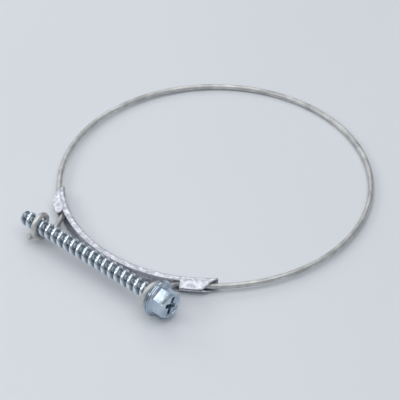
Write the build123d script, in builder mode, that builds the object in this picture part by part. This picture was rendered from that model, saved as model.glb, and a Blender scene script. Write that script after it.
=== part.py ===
from build123d import *
import os
from math import asin, atan2, cos, degrees, pi, radians, sin, tan

# Single-wire hose clamp with a folded bridge and a tightening screw. Millimetres.
# +Z is the hose axis, +X runs along the screw from its tip to its head, and the
# screw lies on the -Y side. The origin is the middle of the bounding box at the
# level of the lowest point, which is the rim of the screw's flange.

# Wire band: one round wire, bent into a ring with an eye at each end
wire_diameter = 1.9
ring_radius = 53.0            # hose axis to the wire's centreline
leg_bend_radius = 2.6         # where the legs leave the ring and turn square to the screw
nut_root_x = 26.6             # where the nut-side leg leaves the ring, towards the tip
head_root_x = 24.3            # where the head-side leg leaves the ring, towards the head
elbow_distance = 4.2          # the legs turn square to the screw this far before its axis
nut_eye_x = -23.4             # the nut-side leg passes under the screw here
nut_eye_tail = 4.0            # straight cut end past the last turn
head_eye_x = 24.3             # the head-side leg passes under the screw here
head_eye_pitch = 1.96         # the plain eye is wound close
head_eye_tail = 0.5
eye_gap = 0.05                # plain eye to the flange it carries

# Screw: rounded single-start thread, flanged hexagon head, slot and cross recess
thread_diameter = 5.4
thread_depth = 0.7
thread_pitch = 2.83
thread_clearance = 0.05       # radial gap between the thread and the eyes round it
screw_standoff = 6.1          # ring's centreline to the screw's axis, seen along the hose axis
tip_turns = 3                 # turns of thread past the nut eye, which lies between two crests
tip_taper = 1.2               # length over which the thread runs out to its core at the tip
neck_length = 1.0             # plain neck under the flange
flange_diameter = 12.3
flange_rim = 1.1
flange_step = 0.25            # the step round the front of the rim
flange_cone = 0.55            # the front of the flange rises this much to the hexagon
head_height = 6.2             # flange included
head_flats = 8.2
head_turn = 6.0               # one corner of the hexagon, from +Z towards the ring
head_chamfer = 0.2            # flats to the circle of the end face
dish_diameter = 6.8           # shallow dish inside the rim of the end face
dish_depth = 0.35
slot_length = 6.2
slot_width = 1.2
slot_depth = 1.5              # the recess depths are from the rim
cross_span = 4.6
cross_width = 1.2
cross_depth = 2.8

# Bridge: one folded sheet that spans the gap between the two legs. Depths are
# measured outwards from its inner face, heights from the ring's plane.
sheet = 0.5
bridge_inset = 3.9            # the inner face has a radius this much less than the ring
bridge_height = 4.7
fold_radius = 1.1             # outside radius of the long folds
upper_flange = 2.6            # depth of the channel's flanges between the wings
lower_flange = 2.95
upper_crease = 2.2            # the flaps start to slope towards each other here
lower_crease = 2.5
upper_reach = 4.7             # depth of the flaps' free edges, past the wire
lower_reach = 4.4
upper_lip = 0.9               # height of the free edges' outer corners
lower_lip = 0.35
wing_start_x = 26.2           # inner end of the flaps
wing_end_x = 34.7             # end of the bridge's base
mitre_crease_x = 34.1         # end of the flaps at the crease
mitre_edge_x = 34.0           # end of the flaps' free edges
wire_seat = 0.05              # between the wire and the bridge under it

os.makedirs("parts", exist_ok=True)

wire_radius = wire_diameter / 2
thread_radius = thread_diameter / 2
flange_radius = flange_diameter / 2
eye_radius = thread_radius + thread_clearance + wire_radius

# The flange's rim touches z = 0, and y = 0 is half way across
ring_z = flange_radius - eye_radius
screw_distance = ring_radius + screw_standoff
ring_y = (screw_distance + flange_radius - ring_radius - wire_radius) / 2
ring_plane = Plane((0, ring_y, ring_z))
screw_y = ring_y - screw_distance
screw_z = flange_radius
head_rise = head_eye_pitch / (2 * pi * eye_radius)
flange_x = head_eye_x + head_eye_pitch + head_eye_tail * head_rise + wire_radius + eye_gap
tip_x = nut_eye_x - tip_turns * thread_pitch
nut_leg_angle = degrees(asin(nut_root_x / ring_radius))
head_leg_angle = degrees(asin(head_root_x / ring_radius))


def on_ring(angle):
    """A point of the wire's centreline in the ring's plane, turned from -Y to +X."""
    return (ring_radius * sin(radians(angle)), -ring_radius * cos(radians(angle)))


# Wire band. Both eyes start under the screw and rise on its outer side: the nut
# eye follows the thread towards the tip, the plain eye is wound towards the head.
nut_elbow_x = nut_eye_x + elbow_distance * thread_pitch / (2 * pi * eye_radius)
head_elbow_x = head_eye_x - elbow_distance * head_rise
nut_plane = Plane((nut_eye_x, screw_y, screw_z), x_dir=(0, 0, -1), z_dir=(-1, 0, 0))
head_plane = Plane((head_eye_x, screw_y, screw_z), x_dir=(0, 0, -1), z_dir=(1, 0, 0))

with BuildPart() as wire_band:
    with BuildLine(ring_plane) as ring_run:
        Polyline(
            (nut_eye_x, -screw_distance),
            (nut_elbow_x, elbow_distance - screw_distance),
            on_ring(-nut_leg_angle),
        )
        ThreePointArc(on_ring(-nut_leg_angle), (0, ring_radius), on_ring(head_leg_angle))
        Polyline(
            on_ring(head_leg_angle),
            (head_elbow_x, elbow_distance - screw_distance),
            (head_eye_x, -screw_distance),
        )
        corners = ring_run.vertices().filter_by(lambda v: screw_y + 1 < v.Y < 0)
        fillet(corners, leg_bend_radius)
    with BuildLine() as nut_coil:
        add(nut_plane.location * Helix(thread_pitch, thread_pitch, eye_radius, mode=Mode.PRIVATE))
    with BuildLine() as head_coil:
        wound = Helix(head_eye_pitch, head_eye_pitch, eye_radius, lefthand=True, mode=Mode.PRIVATE)
        add(head_plane.location * wound)
    for path in (ring_run.wires()[0], nut_coil.edges()[0], head_coil.edges()[0]):
        with BuildSketch(Plane(path @ 0, z_dir=path % 0)):
            Circle(wire_radius)
        sweep(path=path)
    for turn, tail in ((nut_coil.edges()[0], nut_eye_tail), (head_coil.edges()[0], head_eye_tail)):
        with BuildSketch(Plane(turn @ 1, z_dir=turn % 1)):
            Circle(wire_radius)
        extrude(amount=tail)
wire_band.part.label = "wire_band"
export_step(wire_band.part, "parts/wire_band.step")

# Bridge: a channel between the wings, and flaps folded over the wire on each wing
bridge_radius = ring_radius - bridge_inset
seat_radius = ring_radius - wire_radius - wire_seat
bridge_shift = (seat_radius - bridge_radius - sheet) / cos(radians(head_leg_angle))
bridge_y = ring_y - bridge_shift
bridge_axis = Axis((0, bridge_y, 0), (0, 0, 1))
wing_start = degrees(asin(wing_start_x / (bridge_radius + upper_crease)))
wing_end = degrees(asin(wing_end_x / (bridge_radius + sheet)))
mitre_crease = degrees(asin(mitre_crease_x / (bridge_radius + upper_crease)))
mitre_edge = degrees(asin(mitre_edge_x / (bridge_radius + upper_reach)))
half_height = bridge_height / 2
inner_half = half_height - sheet


def flap(crease, reach, lip):
    """The free edge and the crease of an upper flap, on its outer and its inner side."""
    slope = atan2(half_height - lip, reach - crease)
    outer = [(reach, lip), (crease, half_height)]
    inner = [
        (reach - sheet * sin(slope), lip - sheet * cos(slope)),
        (crease - sheet * tan(slope / 2), inner_half),
    ]
    return outer, inner


def below(points):
    """The same points on the other side of the ring's plane."""
    return [(depth, -height) for depth, height in points]


def section_plane(angle):
    """The plane through the bridge's axis, turned from -Y to +X, with x = 0 on the inner face."""
    out = (sin(radians(angle)), -cos(radians(angle)), 0)
    face = (bridge_radius * out[0], bridge_y + bridge_radius * out[1], ring_z)
    return Plane(face, x_dir=out, z_dir=(out[1], -out[0], 0))


def on_bridge(depth, angle):
    """A point at a depth outside the inner face of the bridge."""
    reach = bridge_radius + depth
    return (reach * sin(radians(angle)), bridge_y - reach * cos(radians(angle)))


with BuildPart() as bridge:
    upper_outer, upper_inner = flap(upper_crease, upper_reach, upper_lip)
    lower_outer, lower_inner = flap(lower_crease, lower_reach, lower_lip)
    with BuildSketch(section_plane(-wing_end)):
        with BuildLine():
            FilletPolyline(
                *below(lower_outer),
                (0, -half_height),
                (0, half_height),
                *upper_outer[::-1],
                radius=fold_radius,
            )
            FilletPolyline(
                *below(lower_inner),
                (sheet, -inner_half),
                (sheet, inner_half),
                *upper_inner[::-1],
                radius=fold_radius - sheet,
            )
            Line(upper_outer[0], upper_inner[0])
            Line(*below([lower_outer[0], lower_inner[0]]))
        make_face()
    revolve(axis=bridge_axis, revolution_arc=wing_end - wing_start)
    with BuildSketch(Plane.XY):
        with BuildLine():
            Polyline(
                on_bridge(sheet, -wing_end),
                on_bridge(upper_crease, -mitre_crease),
                on_bridge(upper_reach, -mitre_edge),
                on_bridge(2 * upper_reach, -mitre_edge),
                on_bridge(2 * upper_reach, -wing_end),
                close=True,
            )
        make_face()
    extrude(amount=ring_z + bridge_height, mode=Mode.SUBTRACT)
    mirror(about=Plane.YZ)
    with BuildSketch(section_plane(-wing_start)):
        with BuildLine():
            FilletPolyline(
                (lower_flange, -half_height),
                (0, -half_height),
                (0, half_height),
                (upper_flange, half_height),
                radius=fold_radius,
            )
            FilletPolyline(
                (lower_flange, -inner_half),
                (sheet, -inner_half),
                (sheet, inner_half),
                (upper_flange, inner_half),
                radius=fold_radius - sheet,
            )
            Line((upper_flange, half_height), (upper_flange, inner_half))
            Line((lower_flange, -half_height), (lower_flange, -inner_half))
        make_face()
    revolve(axis=bridge_axis, revolution_arc=2 * wing_start)
bridge.part.label = "bridge"
export_step(bridge.part, "parts/bridge.step")

# Screw. A circle held square to the axis and carried round a small helix makes
# the rounded thread: its crest is thread_diameter and its root is one depth below.
orbit = thread_depth / 2
core_radius = thread_radius - orbit
head_x = flange_x + head_height
hex_radius = head_flats / 2 / cos(pi / 6)

with BuildPart() as screw:
    with BuildLine() as thread_path:
        add(
            Plane((tip_x, screw_y, screw_z), x_dir=(0, 0, 1), z_dir=(1, 0, 0)).location
            * Helix(thread_pitch, flange_x - neck_length - tip_x, orbit, mode=Mode.PRIVATE)
        )
    with BuildSketch(Plane(thread_path.line @ 0, z_dir=(1, 0, 0))):
        Circle(core_radius)
    sweep(path=thread_path.edges()[0], normal=(1, 0, 0))
    with BuildSketch(Plane((tip_x, screw_y, screw_z), x_dir=(1, 0, 0), z_dir=(0, -1, 0))):
        with BuildLine():
            Polyline(
                (0, thread_radius - thread_depth),
                (tip_taper, thread_radius),
                (tip_taper, 2 * thread_radius),
                (-tip_taper, 2 * thread_radius),
                (-tip_taper, thread_radius - thread_depth),
                close=True,
            )
        make_face()
    revolve(axis=Axis((0, screw_y, screw_z), (1, 0, 0)), mode=Mode.SUBTRACT)
    with BuildSketch(Plane((flange_x, screw_y, screw_z), x_dir=(1, 0, 0), z_dir=(0, -1, 0))):
        with BuildLine():
            Polyline(
                (-neck_length, 0),
                (-neck_length, core_radius),
                (0, core_radius),
                (0, flange_radius),
                (flange_rim, flange_radius),
                (flange_rim, flange_radius - 2 * flange_step),
                (flange_rim + flange_step, flange_radius - 3 * flange_step),
                (flange_rim + flange_cone, hex_radius),
                (flange_rim + flange_cone, 0),
                close=True,
            )
        make_face()
    revolve(axis=Axis((0, screw_y, screw_z), (1, 0, 0)))
    with BuildSketch(Plane((flange_x, screw_y, screw_z), x_dir=(0, 0, 1), z_dir=(1, 0, 0))):
        RegularPolygon(hex_radius, 6, rotation=-head_turn)
    extrude(amount=head_height)
    with BuildSketch(Plane((head_x, screw_y, screw_z), x_dir=(1, 0, 0), z_dir=(0, -1, 0))):
        with BuildLine():
            Polyline(
                (0, head_flats / 2 - head_chamfer),
                (-(hex_radius - head_flats / 2 + head_chamfer) * tan(pi / 6), hex_radius),
                (0, hex_radius),
                close=True,
            )
        make_face()
    revolve(axis=Axis((0, screw_y, screw_z), (1, 0, 0)), mode=Mode.SUBTRACT)
    end_face = Plane((head_x, screw_y, screw_z), x_dir=(0, 0, 1), z_dir=(1, 0, 0))
    with BuildSketch(end_face):
        Circle(dish_diameter / 2)
    extrude(amount=-dish_depth, taper=30, mode=Mode.SUBTRACT)
    with BuildSketch(end_face):
        Rectangle(slot_length, slot_width)
    extrude(amount=-slot_depth, mode=Mode.SUBTRACT)
    with BuildSketch(end_face):
        Rectangle(cross_span, cross_width)
        Rectangle(cross_width, cross_span)
    extrude(amount=-cross_depth, taper=8, mode=Mode.SUBTRACT)
screw.part.label = "screw"
export_step(screw.part, "parts/screw.step")
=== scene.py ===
from math import asin, atan2, cos, degrees, pi, radians, sin, sqrt, tan

import bmesh
import bpy
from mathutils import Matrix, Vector


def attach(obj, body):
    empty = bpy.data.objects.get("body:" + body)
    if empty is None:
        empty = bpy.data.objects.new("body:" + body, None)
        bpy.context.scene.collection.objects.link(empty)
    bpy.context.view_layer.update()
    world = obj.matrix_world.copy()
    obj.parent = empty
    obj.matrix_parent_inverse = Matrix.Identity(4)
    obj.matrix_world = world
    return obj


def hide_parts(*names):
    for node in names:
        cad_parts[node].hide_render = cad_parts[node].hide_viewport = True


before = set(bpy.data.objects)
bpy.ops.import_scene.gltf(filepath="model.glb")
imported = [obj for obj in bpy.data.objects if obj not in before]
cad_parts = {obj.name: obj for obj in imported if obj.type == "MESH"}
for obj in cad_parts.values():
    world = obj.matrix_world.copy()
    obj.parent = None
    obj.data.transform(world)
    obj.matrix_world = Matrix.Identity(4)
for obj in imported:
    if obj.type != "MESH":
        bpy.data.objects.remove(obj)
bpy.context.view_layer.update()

# A clamp of one round wire, with a folded bridge and a tightening screw. Dimensions in metres
# unless a comment says millimetres, the same as the part's. +X runs along the screw to its head.
MM = 0.001
WIRE = 0.95 * MM              # the wire's radius
RING = 53.0 * MM              # hose axis to the wire's centreline
RING_Y = 5.65 * MM
RING_Z = 2.45 * MM
CREST = 2.7 * MM              # radius of the thread's crest
DEPTH = 0.7 * MM
PITCH = 2.83 * MM
EYE = CREST + 0.05 * MM + WIRE
SCREW_Y = RING_Y - 59.1 * MM
SCREW_Z = RING_Z + EYE
NUT_ROOT_X = 26.6 * MM        # where the legs leave the ring, towards the tip and the head
HEAD_ROOT_X = 24.3 * MM
ELBOW = 4.2 * MM              # the legs turn square to the screw this far before its axis
LEG_BEND = 2.6 * MM
NUT_EYE_X = -23.4 * MM        # where the legs pass under the screw
HEAD_EYE_X = 24.3 * MM
CLOSE_PITCH = 1.96 * MM       # the plain eye is wound close
NUT_TAIL = 4.0 * MM           # straight wire past each eye
HEAD_TAIL = 0.5 * MM
TIP_X = NUT_EYE_X - 3 * PITCH
FLANGE_X = 27.302 * MM        # back of the flange
HEAD_X = FLANGE_X + 6.2 * MM
RECESS_SHADE_X = HEAD_X - 0.45 * MM   # painted shade darkens the recess, from here
RECESS_SHADE_REACH = 3.15 * MM        # and this near to the screw's axis
THREAD_CORE = 1.9 * MM        # the thread's painted shade is measured up from this radius


# Meshes
def loft(bm, loops, lengths=None, caps=True):
    """Quads between successive closed loops of points, with n-gon ends.

    lengths gives each loop's place along the piece, which goes into the UV map.
    """
    rows = [[bm.verts.new(p) for p in loop] for loop in loops]
    uv = bm.loops.layers.uv.new("along") if lengths else None
    count = len(rows[0])
    for r, (lower, upper) in enumerate(zip(rows, rows[1:])):
        for i in range(count):
            j = (i + 1) % count
            face = bm.faces.new((lower[i], lower[j], upper[j], upper[i]))
            if uv:
                spots = ((r, i), (r, i + 1), (r + 1, i + 1), (r + 1, i))
                for corner_loop, (row, k) in zip(face.loops, spots):
                    corner_loop[uv].uv = (lengths[row] / MM, k / count)
    if caps:
        bm.faces.new(rows[0])
        bm.faces.new(rows[-1])
    return rows


def finish_mesh(name, bm, body, look, node, sharp=32):
    """A piece from a bmesh, smooth but for its sharp edges, riding on a CAD body."""
    bmesh.ops.recalc_face_normals(bm, faces=bm.faces)
    mesh = bpy.data.meshes.new(name)
    bm.to_mesh(mesh)
    bm.free()
    for polygon in mesh.polygons:
        polygon.use_smooth = True
    mesh.set_sharp_from_angle(angle=radians(sharp))
    mesh.materials.append(look)
    piece = bpy.data.objects.new(name, mesh)
    bpy.context.collection.objects.link(piece)
    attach(piece, body)
    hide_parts(node)


# Distance in from a cut end and the radius there, as shares of the wire's radius
CUT_EDGE = ((0.0, 0.84), (0.05, 0.95), (0.2, 1.0))


def tube(bm, path, radius, sides=28):
    """A round wire along a path, with the edges of its cut ends slightly rounded."""
    tangents = []
    for i in range(len(path)):
        before, after = path[max(i - 1, 0)], path[min(i + 1, len(path) - 1)]
        tangents.append((after - before).normalized())
    across = tangents[0].orthogonal().normalized()
    axes = []
    for tangent in tangents:
        across = (across - tangent * across.dot(tangent)).normalized()
        axes.append((across.copy(), tangent.cross(across)))
    stations = [(path[0] + tangents[0] * back * radius, axes[0], scale) for back, scale in CUT_EDGE]
    stations += [(point, pair, 1.0) for point, pair in zip(path[1:-1], axes[1:-1])]
    for back, scale in reversed(CUT_EDGE):
        stations.append((path[-1] - tangents[-1] * back * radius, axes[-1], scale))
    loops, lengths, place = [], [], 0.0
    for n, (centre, (u, v), scale) in enumerate(stations):
        if n:
            place += (centre - stations[n - 1][0]).length
        lengths.append(place)
        turns = [2 * pi * k / sides for k in range(sides)]
        loops.append([centre + (u * cos(t) + v * sin(t)) * radius * scale for t in turns])
    loft(bm, loops, lengths)


# Materials
def material(name, build):
    """A node material: build gets the node tree, its shader and its texture coordinates."""
    made = bpy.data.materials.new(name)
    made.use_nodes = True
    tree = made.node_tree
    build(tree, tree.nodes["Principled BSDF"], tree.nodes.new("ShaderNodeTexCoord"))
    return made


def add_node(tree, kind, **values):
    """A node with its inputs set by name."""
    made = tree.nodes.new(kind)
    for key, value in values.items():
        made.inputs[key.replace("_", " ")].default_value = value
    return made


def ramp(tree, source, stops):
    """A colour ramp fed by a socket; stops are (place, colour or grey)."""
    made = tree.nodes.new("ShaderNodeValToRGB")
    elements = made.color_ramp.elements
    for i, (place, colour) in enumerate(stops):
        element = elements[i] if i < 2 else elements.new(place)
        element.position = place
        element.color = (*colour, 1) if isinstance(colour, tuple) else (colour, colour, colour, 1)
    tree.links.new(source, made.inputs["Fac"])
    return made.outputs["Color"]


def noise(tree, source, scale, detail=3.0, stretch=None):
    """Noise on a coordinate socket, drawn out along an axis by stretch."""
    if stretch:
        mapping = add_node(tree, "ShaderNodeMapping", Scale=stretch)
        tree.links.new(source, mapping.inputs["Vector"])
        source = mapping.outputs["Vector"]
    made = add_node(tree, "ShaderNodeTexNoise", Scale=scale, Detail=detail)
    tree.links.new(source, made.inputs["Vector"])
    return made.outputs["Fac"]


def math_node(tree, operation, a, b):
    """A Math node on two sockets or numbers."""
    made = tree.nodes.new("ShaderNodeMath")
    made.operation = operation
    for slot, value in zip(made.inputs, (a, b)):
        if isinstance(value, (int, float)):
            slot.default_value = value
        else:
            tree.links.new(value, slot)
    return made.outputs["Value"]


def blend(tree, a, b, share):
    """A share of one socket, and the rest from another."""
    first = math_node(tree, "MULTIPLY", a, share)
    return math_node(tree, "ADD", first, math_node(tree, "MULTIPLY", b, 1 - share))


def bump(tree, shader, height, distance, strength):
    """Relief from a height socket."""
    made = add_node(tree, "ShaderNodeBump", Strength=strength, Distance=distance)
    tree.links.new(height, made.inputs["Height"])
    tree.links.new(made.outputs["Normal"], shader.inputs["Normal"])


def wire_look(tree, shader, coords):
    """Dull zinc on drawn wire: cloudy warm grey, with fine lines and scuffs along the wire."""
    clouds = noise(tree, coords.outputs["Object"], 240.0, 4.0)
    lines = noise(tree, coords.outputs["UV"], 1.0, 3.0, (0.12, 14.0, 1.0))
    both = blend(tree, clouds, lines, 0.6)
    tones = [(0.36, (0.42, 0.42, 0.41)), (0.50, (0.58, 0.58, 0.56)), (0.64, (0.74, 0.74, 0.71))]
    tree.links.new(ramp(tree, both, tones), shader.inputs["Base Color"])
    tree.links.new(ramp(tree, both, [(0.36, 0.54), (0.64, 0.40)]), shader.inputs["Roughness"])
    bump(tree, shader, lines, 0.04 * MM, 0.6)
    shader.inputs["Metallic"].default_value = 0.8


def sheet_look(tree, shader, coords):
    """Galvanised sheet: small spangles and cloudy patches with a cool cast, slightly rippled."""
    spangle = add_node(tree, "ShaderNodeTexVoronoi", Scale=1900.0)
    tree.links.new(coords.outputs["Object"], spangle.inputs["Vector"])
    grains = ramp(tree, spangle.outputs["Color"], [(0.0, 0.0), (1.0, 1.0)])
    clouds = noise(tree, coords.outputs["Object"], 760.0, 6.0)
    both = blend(tree, clouds, grains, 0.82)
    tones = [(0.36, (0.46, 0.47, 0.51)), (0.50, (0.62, 0.63, 0.68)), (0.62, (0.76, 0.77, 0.82))]
    tree.links.new(ramp(tree, both, tones), shader.inputs["Base Color"])
    tree.links.new(ramp(tree, both, [(0.36, 0.44), (0.64, 0.30)]), shader.inputs["Roughness"])
    ripple = noise(tree, coords.outputs["Object"], 1400.0, 3.0)
    bump(tree, shader, ripple, 0.09 * MM, 0.7)
    shader.inputs["Metallic"].default_value = 0.7


def screw_place(tree, coords):
    """The place along the screw, and the distance from its axis."""
    parts = tree.nodes.new("ShaderNodeSeparateXYZ")
    tree.links.new(coords.outputs["Object"], parts.inputs["Vector"])
    beside = math_node(tree, "POWER", math_node(tree, "SUBTRACT", parts.outputs["Y"], SCREW_Y), 2.0)
    above = math_node(tree, "POWER", math_node(tree, "SUBTRACT", parts.outputs["Z"], SCREW_Z), 2.0)
    away = math_node(tree, "POWER", math_node(tree, "ADD", beside, above), 0.5)
    return parts.outputs["X"], away


def screw_look(tree, shader, coords):
    """Bright blue-passivated zinc, with painted shade down in the thread's groove and a painted
    highlight on its crest.
    """
    _, away = screw_place(tree, coords)
    clouds = noise(tree, coords.outputs["Object"], 420.0, 4.0)
    # Painted shade and highlight: by the distance from the axis, the colour runs from dark in the
    # groove to light on the crest
    height = math_node(tree, "MULTIPLY", math_node(tree, "SUBTRACT", away, THREAD_CORE), 1 / MM)
    groove_shade_crest_light = math_node(tree, "ADD", height, math_node(tree, "MULTIPLY", clouds, 0.3))
    tones = [(0.25, (0.12, 0.16, 0.19)), (0.65, (0.50, 0.58, 0.65)), (0.90, (0.84, 0.89, 0.93))]
    tree.links.new(ramp(tree, groove_shade_crest_light, tones), shader.inputs["Base Color"])
    tree.links.new(ramp(tree, clouds, [(0.3, 0.26), (0.7, 0.15)]), shader.inputs["Roughness"])
    waves = noise(tree, coords.outputs["Object"], 900.0, 2.0)
    bump(tree, shader, waves, 0.06 * MM, 0.6)
    shader.inputs["Metallic"].default_value = 1.0


def head_look(tree, shader, coords):
    """The same plating on the cold-formed head, with broad waves, and painted shade down in the
    recess.
    """
    clouds = noise(tree, coords.outputs["Object"], 300.0, 5.0)
    tones = [(0.32, (0.38, 0.47, 0.56)), (0.50, (0.50, 0.59, 0.67)), (0.68, (0.64, 0.71, 0.78))]
    along, away = screw_place(tree, coords)
    # Painted shade: down in the recess and near the axis, the colour is mixed to a darker grey-blue
    deep = math_node(tree, "LESS_THAN", along, RECESS_SHADE_X)
    near = math_node(tree, "LESS_THAN", away, RECESS_SHADE_REACH)
    recess_shade = add_node(tree, "ShaderNodeMixRGB", Color2=(0.27, 0.33, 0.39, 1))
    tree.links.new(math_node(tree, "MULTIPLY", deep, near), recess_shade.inputs["Fac"])
    tree.links.new(ramp(tree, clouds, tones), recess_shade.inputs["Color1"])
    tree.links.new(recess_shade.outputs["Color"], shader.inputs["Base Color"])
    tree.links.new(ramp(tree, clouds, [(0.3, 0.24), (0.7, 0.12)]), shader.inputs["Roughness"])
    waves = noise(tree, coords.outputs["Object"], 260.0, 2.0)
    bump(tree, shader, waves, 0.35 * MM, 0.5)
    shader.inputs["Metallic"].default_value = 1.0


wire_zinc = material("drawn_wire", wire_look)
sheet_zinc = material("galvanised_sheet", sheet_look)
screw_zinc = material("plated_screw", screw_look)
head_zinc = material("plated_head", head_look)


# Wire band: its legs leave the ring, pass under the screw and coil up its outer side
RING_STEPS = 420


def plan(x, y):
    """A point of the ring's plane, measured from the hose axis."""
    return Vector((x, RING_Y + y, RING_Z))


def on_ring(angle):
    """A point of the wire's centreline, turned from -Y to +X."""
    return plan(RING * sin(angle), -RING * cos(angle))


def unit(a, b):
    """The direction from one point to another."""
    return (b - a).normalized()


def corner(point, arriving, leaving, steps=10):
    """Points of a smooth bend at a corner between two unit directions, and its reach."""
    reach = LEG_BEND * tan(arriving.angle(leaving) / 2)
    start, end = point - arriving * reach, point + leaving * reach
    points = []
    for i in range(steps + 1):
        t = i / steps
        points.append(start * (1 - t) ** 2 + point * 2 * t * (1 - t) + end * t**2)
    return points, reach


def eye(start_x, pitch, way, steps=72):
    """One turn round the screw: it starts underneath and rises on the outer side."""
    points = []
    for i in range(steps + 1):
        turn = 2 * pi * i / steps
        x = start_x + way * pitch * turn / (2 * pi)
        points.append(Vector((x, SCREW_Y - EYE * sin(turn), SCREW_Z - EYE * cos(turn))))
    return points


def wire_path():
    """The wire's centreline, from the nut eye's cut end round the ring to the plain eye's end."""
    nut_angle, head_angle = -asin(NUT_ROOT_X / RING), asin(HEAD_ROOT_X / RING)
    nut_slope, head_slope = PITCH / (2 * pi * EYE), CLOSE_PITCH / (2 * pi * EYE)
    nut_root, head_root = on_ring(nut_angle), on_ring(head_angle)
    nut_elbow = Vector((NUT_EYE_X + ELBOW * nut_slope, SCREW_Y + ELBOW, RING_Z))
    head_elbow = Vector((HEAD_EYE_X - ELBOW * head_slope, SCREW_Y + ELBOW, RING_Z))
    nut_leg, head_leg = unit(nut_root, nut_elbow), unit(head_root, head_elbow)

    # Bends at the ring and at the elbows, each from the ring towards the screw
    ring_way = Vector((cos(nut_angle), sin(nut_angle), 0))
    ring_back = Vector((-cos(head_angle), -sin(head_angle), 0))
    nut_foot, nut_reach = corner(nut_root, ring_way, nut_leg)
    nut_bend, _ = corner(nut_elbow, nut_leg, Vector((-nut_slope, -1, 0)).normalized())
    head_foot, head_reach = corner(head_root, ring_back, head_leg)
    head_bend, _ = corner(head_elbow, head_leg, Vector((head_slope, -1, 0)).normalized())

    ring_start = nut_angle - nut_reach / RING
    ring_end = head_angle + head_reach / RING - 2 * pi
    ring_turn = (ring_end - ring_start) / RING_STEPS
    ring = [on_ring(ring_start + ring_turn * i) for i in range(1, RING_STEPS)]

    nut_eye = eye(NUT_EYE_X, PITCH, -1)
    head_eye = eye(HEAD_EYE_X, CLOSE_PITCH, 1)
    nut_way, head_way = unit(nut_eye[-2], nut_eye[-1]), unit(head_eye[-2], head_eye[-1])
    nut_tail = [nut_eye[-1] + nut_way * NUT_TAIL * (1 - i / 4) for i in range(4)]
    head_tail = [head_eye[-1] + head_way * HEAD_TAIL * i / 2 for i in (1, 2)]
    nut_end = nut_tail + nut_eye[::-1] + nut_bend[::-1] + nut_foot[::-1]
    return nut_end + ring + head_foot + head_bend + head_eye + head_tail


bm = bmesh.new()
tube(bm, wire_path(), WIRE)
finish_mesh("drawn_wire_band", bm, "band", wire_zinc, "wire_band")


# Bridge: pairs of points on the sheet's outer and inner side, swept round its own axis. Depths
# are measured outwards from its inner face, and angles in degrees from -Y.
SHEET = 0.5 * MM
INNER = RING - 3.9 * MM       # radius of the inner face
SHIFT = 2.70 * MM             # the bridge's axis lies this far from the ring's, towards the screw
HALF = 2.35 * MM              # half the height
FOLD = 1.1 * MM               # outside radius of the long folds
CREASE = 2.4 * MM             # outside radius where the flaps start to slope
ROUND = 0.07 * MM             # the cut edges are rounded this much
WING_START = 30.71
CHANNEL_GAP = 0.2             # the channel runs out into the wings over this angle
CHANNEL_STEPS = 60
WING_STEPS = 12
FLANGE_STEPS = 12
FLANGE_SPACE = 0.15 * MM      # between the flange's last step and its free edge
FLAP_SPOTS = (1.1, 0.7, 0.4, 0.2)    # millimetres back from a flap's free edge

# Millimetres, above and below the ring's plane: depth of the channel's flanges, depth where
# the flaps start to slope, and depth and height of the flaps' free edges
UPPER = {"flange": 2.6, "crease": 2.2, "reach": 4.7, "lip": 0.9}
LOWER = {"flange": 2.95, "crease": 2.5, "reach": 4.4, "lip": 0.35}

# The slanted end of each flap: its angle by its depth in millimetres
LEFT_UPPER = [(0.0, 44.4), (0.5, 44.4), (2.2, 42.0), (3.9, 40.7), (4.4, 40.0), (4.7, 39.0)]
LEFT_LOWER = [(0.0, 44.4), (0.5, 44.4), (2.5, 41.6), (4.1, 39.6), (4.4, 38.9)]
RIGHT_UPPER = [(0.0, 44.4), (0.5, 44.4), (2.2, 41.7), (4.5, 38.6), (4.7, 38.2)]
RIGHT_LOWER = [(0.0, 44.4), (0.5, 44.4), (2.5, 41.9), (4.1, 39.4), (4.4, 38.7)]


def arc_pairs(x, z, radius, first, last, steps):
    """Outer and inner points of a fold; angles in degrees from the depth's direction."""
    pairs = []
    for i in range(steps + 1):
        a = radians(first + (last - first) * i / steps)
        ray = Vector((cos(a), sin(a)))
        pairs.append((Vector((x, z)) + ray * radius, Vector((x, z)) + ray * (radius - SHEET)))
    return pairs


def half_section(form, folded):
    """Pairs of one half, from the middle of the base to the free edge."""
    level = HALF - FOLD
    pairs = [(Vector((0, z)), Vector((SHEET, z))) for z in (0.0, level * 0.5)]
    pairs += arc_pairs(FOLD, level, FOLD, 180, 90, 9)
    if folded:
        reach, crease, lip = form["reach"] * MM, form["crease"] * MM, form["lip"] * MM
        slope = atan2(HALF - lip, reach - crease)
        start = crease - CREASE * tan(slope / 2)
        pairs += arc_pairs(start, HALF - CREASE, CREASE, 90, 90 - degrees(slope), 6)
        along = Vector((cos(slope), -sin(slope)))
        thick = Vector((sin(slope), cos(slope))) * SHEET
        edge = Vector((reach, lip))
        for back in FLAP_SPOTS:
            pairs.append((edge - along * back * MM, edge - along * back * MM - thick))
    else:
        along, thick = Vector((1, 0)), Vector((0, 1)) * SHEET
        edge = Vector((form["flange"] * MM, HALF))
        for i in range(1, FLANGE_STEPS):
            spot = Vector((FOLD + (edge.x - FLANGE_SPACE - FOLD) * i / FLANGE_STEPS, HALF))
            pairs.append((spot, spot - thick))
    for back, inset in ((ROUND, 0.0), (ROUND * 0.3, ROUND * 0.3), (0.0, ROUND)):
        outer = edge - along * back
        push = thick.normalized() * inset
        pairs.append((outer - push, outer - thick + push))
    return pairs


def section(folded):
    """Pairs of the whole section, from the lower free edge to the upper one."""
    lower = half_section(LOWER, folded)[:0:-1]
    flipped = [(Vector((o.x, -o.y)), Vector((i.x, -i.y))) for o, i in lower]
    return flipped + half_section(UPPER, folded)


def end_angle(table, depth):
    """A flap's end angle at a depth."""
    for (a, first), (b, last) in zip(table, table[1:]):
        if depth <= b * MM:
            return first + (last - first) * (depth / MM - a) / (b - a)
    return table[-1][1]


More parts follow.
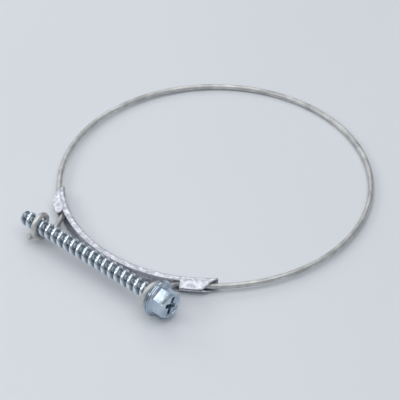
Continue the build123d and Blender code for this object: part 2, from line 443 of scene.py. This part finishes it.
def on_bridge(point, angle):
    """A point of the section (depth, height), turned to its angle."""
    reach, turn = INNER + point.x, radians(angle)
    return Vector((reach * sin(turn), RING_Y - SHIFT - reach * cos(turn), RING_Z + point.y))


def bridge_loop(pairs, angle_of, thin=0.0):
    """A closed loop of the section; angle_of gives each point's angle, thin shaves the sheet."""
    outer, inner = [], []
    for o, i in pairs:
        shave = (o - i).normalized() * thin
        outer.append(on_bridge(o - shave, angle_of(o)))
        inner.append(on_bridge(i + shave, angle_of(i)))
    return outer + inner[::-1]


def wing_loops(side, upper_ends, lower_ends):
    """Loops of one wing, from its inner end to its mitred outer end."""
    flap = section(True)
    loops = []
    # Share of the wing's length, step back from its end, and how much the sheet is shaved there
    stations = [(n / WING_STEPS, 0.0, 0.0) for n in range(WING_STEPS)]
    stations += [(1.0, -ROUND, 0.0), (1.0, -0.3 * ROUND, 0.3 * ROUND), (1.0, 0.0, ROUND)]
    for share, back, thin in stations:

        def angle_of(point):
            end = end_angle(upper_ends if point.y >= 0 else lower_ends, point.x)
            return side * (WING_START + share * (end - WING_START) + degrees(back / INNER))

        loops.append(bridge_loop(flap, angle_of, thin))
    return loops


def bridge_loops():
    """Loops from the end of the left wing, along the channel, to the end of the right wing."""
    channel = section(False)
    loops = wing_loops(-1, LEFT_UPPER, LEFT_LOWER)[::-1]
    for n in range(CHANNEL_STEPS + 1):
        angle = (WING_START - CHANNEL_GAP) * (2 * n / CHANNEL_STEPS - 1)
        loops.append(bridge_loop(channel, lambda point: angle))
    return loops + wing_loops(1, RIGHT_UPPER, RIGHT_LOWER)


bm = bmesh.new()
rows = loft(bm, bridge_loops(), caps=False)
# The bent ends of the sheet are closed by quads from its outer to its inner side
for row in (rows[0], rows[-1]):
    for i in range(len(row) // 2 - 1):
        bm.faces.new((row[i], row[i + 1], row[-2 - i], row[-1 - i]))
finish_mesh("folded_bridge", bm, "band", sheet_zinc, "bridge")


# Screw's shank: loops square to the axis, with a round groove wound between the crests
CORE = CREST - DEPTH / 2      # radius of the plain neck
NECK = 1.0 * MM
NECK_SHOULDER = 0.12 * MM     # the thread ends in the neck over this length
NECK_SINK = 0.2 * MM          # the neck ends this far inside the flange
TIP_RADIUS = CREST - DEPTH - 0.25 * MM
TIP_TAPER = 1.2 * MM          # the thread runs out to its core over this length
TIP_ROUND = 0.15 * MM
GROOVE = 0.95 * MM            # half the width of the groove
GROOVE_RADIUS = (GROOVE**2 + DEPTH**2) / (2 * DEPTH)
SHOULDER = 0.10 * MM          # the crest drops this much at the groove's edges
SHANK_SIDES = 64
SHANK_STEPS = 640


def around(x, radius_at, turns):
    """A closed loop round the screw's axis; turns count from +Z towards the outer side."""
    loop = []
    for turn in turns:
        r = radius_at(turn)
        loop.append(Vector((x, SCREW_Y - r * sin(turn), SCREW_Z + r * cos(turn))))
    return loop


def thread_depth(beside):
    """Depth below the crest at a distance from the middle of the groove."""
    if beside < GROOVE:
        shoulder = SHOULDER * (beside / GROOVE) ** 6
        return sqrt(GROOVE_RADIUS**2 - beside**2) - GROOVE_RADIUS + DEPTH + shoulder
    along = (beside - GROOVE) / (PITCH / 2 - GROOVE)
    return SHOULDER * (1 - along) ** 2


def thread_radius(x):
    """Radius round the screw at x: crests with round shoulders, and grooves as wide as the wire."""
    limit = CREST - DEPTH * max(0.0, 1 - (x - TIP_X) / TIP_TAPER)

    def at(turn):
        share = ((x - TIP_X) / PITCH - turn / (2 * pi)) % 1.0
        return min(CREST - min(thread_depth(abs(share - 0.5) * PITCH), DEPTH), limit)

    return at


def shank_loops():
    """Loops from the rounded tip, along the thread, to the neck, which ends inside the flange."""
    turns = [2 * pi * k / SHANK_SIDES for k in range(SHANK_SIDES)]
    thread_start, thread_end = TIP_X + TIP_ROUND, FLANGE_X - NECK
    loops = [around(TIP_X, lambda turn: TIP_RADIUS, turns)]
    for n in range(SHANK_STEPS + 1):
        x = thread_start + (thread_end - thread_start) * n / SHANK_STEPS
        loops.append(around(x, thread_radius(x), turns))
    for x in (thread_end + NECK_SHOULDER, FLANGE_X + NECK_SINK):
        loops.append(around(x, lambda turn: CORE, turns))
    return loops


bm = bmesh.new()
loft(bm, shank_loops())
finish_mesh("threaded_shank", bm, "screw", screw_zinc, "screw", 40)


# Screw's head, in millimetres: loops from the flange's back, over the hexagon and into the recess
FLATS = 8.2
CORNER = 4.68                 # radius of the hexagon's rounded corners
END_CIRCLE = 3.9              # the corners are chamfered down to this radius on the end face
HEX_TURN = radians(-6)        # a corner of the hexagon, turned from +Z towards the ring
RECESS_TURN = radians(-27)    # the slot, turned from +Z towards the ring
SLOT_LENGTH, ARM_LENGTH, ARM_WIDTH = 6.2, 4.8, 1.4
HEAD_STEP = 2.5               # degrees between the loops' points, where no corner is near
CORNER_SPACE = 0.6            # degrees kept clear on each side of a corner

# Distance from the flange's back, and radius: the rim with a groove round it, then the front
# with a bead round it
RIM = [(0.0, 2.0), (0.0, 5.85), (0.05, 6.02), (0.14, 6.12), (0.34, 6.15), (0.44, 6.08), (0.48, 5.80)]
RIM += [(0.58, 5.80), (0.62, 6.08), (0.72, 6.15), (0.98, 6.13), (1.07, 6.04), (1.10, 5.90)]
RIM += [(1.04, 5.74), (1.06, 5.66), (1.28, 5.56), (1.35, 5.42), (1.28, 5.26), (1.34, 5.16)]
# Distance from the flange's back, and how far the foot of the hexagon spreads there
HEX_FOOT = [(1.62, 0.20), (1.72, 0.07), (1.90, 0.0)]
# Distance behind the end face, and radius: its narrow rim and the dish
DISH = [(0.03, 3.95), (0.0, 3.88), (0.0, 3.48), (0.03, 3.40), (0.32, 3.24), (0.35, 3.20)]
# Distance behind the end face, length and width of the cross, length of the slot, and spread
RECESS = [
    (0.35, ARM_LENGTH, ARM_WIDTH, SLOT_LENGTH - 0.1, 0.12),
    (0.50, ARM_LENGTH, ARM_WIDTH, SLOT_LENGTH - 0.1, 0.0),
    (1.40, ARM_LENGTH - 0.7, ARM_WIDTH - 0.25, SLOT_LENGTH - 0.5, 0.0),
    (1.50, ARM_LENGTH - 1.1, ARM_WIDTH - 0.35, 0.0, 0.0),
    (2.60, 2.0, 0.7, 0.0, 0.0),
]


def circle(radius):
    """The same radius all round."""
    return lambda turn: radius * MM


def hexagon(grow=0.0):
    """Radius of the hexagon, its corners rounded off a little."""

    def at(turn):
        part = (turn - HEX_TURN + pi / 6) % (pi / 3) - pi / 6
        return (min(FLATS / 2 / cos(abs(part) - pi / 6), CORNER) + grow) * MM

    return at


def bar(turn, length, width):
    """Half of a rectangle's breadth at an angle from its long axis."""
    c, s = abs(cos(turn)), abs(sin(turn))
    return min(length / 2 / max(c, 1e-6), width / 2 / max(s, 1e-6))


def recess(arm, width, slot, grow):
    """Radius of the recess's outline: a cross, with a longer slot through it or no slot."""

    def at(turn):
        local = turn - RECESS_TURN
        reach = max(bar(local, arm, width), bar(local + pi / 2, arm, width))
        if slot:
            reach = max(reach, bar(local, slot, width))
        return (reach + grow) * MM

    return at


def turns_of_head():
    """Turns of the loops' points: evenly spaced, and one at each corner of hexagon and recess."""
    slot_corner = degrees(atan2(ARM_WIDTH, SLOT_LENGTH))
    arm_corner = degrees(atan2(ARM_WIDTH, ARM_LENGTH))
    middle = degrees(RECESS_TURN)
    corners = [degrees(HEX_TURN) + 60 * k for k in range(6)]
    corners += [middle + half + s for half in (0, 180) for s in (-slot_corner, slot_corner)]
    for quarter in range(4):
        corners += [middle + 90 * quarter + s for s in (-arm_corner, arm_corner, 45)]
    corners = [c % 360 for c in corners]

    def clear(turn):
        return all(abs((turn - c + 180) % 360 - 180) > CORNER_SPACE for c in corners)

    plain = [HEAD_STEP * k for k in range(round(360 / HEAD_STEP))]
    return [radians(t) for t in sorted(corners + [p for p in plain if clear(p)])]


def head_loops():
    """Loops from the back of the flange to the floor of the recess."""
    turns = turns_of_head()
    loops = [around(FLANGE_X + dx * MM, circle(radius), turns) for dx, radius in RIM]
    loops += [around(FLANGE_X + dx * MM, hexagon(grow), turns) for dx, grow in HEX_FOOT]
    chamfered = []
    for point in around(HEAD_X, hexagon(), turns):
        radius = sqrt((point.y - SCREW_Y) ** 2 + (point.z - SCREW_Z) ** 2)
        chamfered.append(point - Vector(((radius - END_CIRCLE * MM) * tan(pi / 6), 0, 0)))
    loops.append(chamfered)
    loops += [around(HEAD_X - drop * MM, circle(radius), turns) for drop, radius in DISH]
    loops += [around(HEAD_X - drop * MM, recess(*outline), turns) for drop, *outline in RECESS]
    return loops


bm = bmesh.new()
loft(bm, head_loops())
finish_mesh("hexagon_head", bm, "screw", head_zinc, "screw", 28)


# Floor, lights and camera. The clamp rests on the bridge and the ring, the flange just clear.
FLOOR_REACH = 3               # metres to each side
FLOOR_RISE = 0.59 * MM        # at y = 0
FLOOR_SLOPE = 0.015043


def floor_look(tree, shader, coords):
    """Pale matt floor, very slightly uneven in tone."""
    cloud = noise(tree, coords.outputs["Object"], 4.0, 2.0)
    tones = [(0.3, (0.74, 0.76, 0.79)), (0.7, (0.77, 0.79, 0.82))]
    tree.links.new(ramp(tree, cloud, tones), shader.inputs["Base Color"])
    shader.inputs["Roughness"].default_value = 0.6


def floor_level(y):
    """The plane under the bridge's two ends and the far side of the ring."""
    return FLOOR_SLOPE * y + FLOOR_RISE


floor_mesh = bpy.data.meshes.new("floor")
bm = bmesh.new()
corner_spots = ((-FLOOR_REACH, -FLOOR_REACH), (FLOOR_REACH, -FLOOR_REACH))
corner_spots += ((FLOOR_REACH, FLOOR_REACH), (-FLOOR_REACH, FLOOR_REACH))
bm.faces.new([bm.verts.new((x, y, floor_level(y))) for x, y in corner_spots])
bm.to_mesh(floor_mesh)
bm.free()
floor_mesh.materials.append(material("floor", floor_look))
floor = bpy.data.objects.new("floor", floor_mesh)
bpy.context.collection.objects.link(floor)

world = bpy.data.worlds.new("studio")
bpy.context.scene.world = world
world.use_nodes = True
sky = world.node_tree.nodes["Background"]
sky.inputs["Color"].default_value = (0.84, 0.90, 1.0, 1)
sky.inputs["Strength"].default_value = 0.37


def look_at(thing, place, target):
    """Put a lamp or camera at a place, turned to its target."""
    thing.location = place
    thing.rotation_euler = (Vector(target) - Vector(place)).to_track_quat("-Z", "Y").to_euler()


def area_light(name, place, target, size, power):
    """A rectangular soft light."""
    lamp = bpy.data.lights.new(name, "AREA")
    lamp.shape = "RECTANGLE"
    lamp.size, lamp.size_y = size
    lamp.energy = power
    holder = bpy.data.objects.new(name, lamp)
    look_at(holder, place, target)
    bpy.context.collection.objects.link(holder)


area_light("overhead", (0.13, -0.15, 0.90), (0.13, -0.15, 0), (1.0, 1.2), 4.4)
area_light("side", (-0.95, 0.08, 0.48), (0, 0, 0), (0.50, 0.40), 1.2)
area_light("front", (-0.50, -0.62, 0.56), (0, 0, 0), (0.42, 0.34), 1.5)
area_light("back", (-0.48, 0.54, 0.61), (0, 0, 0), (0.40, 0.40), 0.8)

camera_target = Vector((3.14, -5.68, 2.45)) * MM
camera_way = Vector((0.5059, -0.5713, 0.6463))
camera_distance = 673.3 * MM
camera_data = bpy.data.cameras.new("camera")
camera_data.sensor_width = 36.0
camera_data.lens = 180.0
camera_data.clip_start = 0.01
camera_data.shift_y = 0.001
camera = bpy.data.objects.new("camera", camera_data)
look_at(camera, camera_target + camera_way * camera_distance, camera_target)
bpy.context.collection.objects.link(camera)
bpy.context.scene.camera = camera
bpy.context.scene.view_settings.view_transform = "Standard"
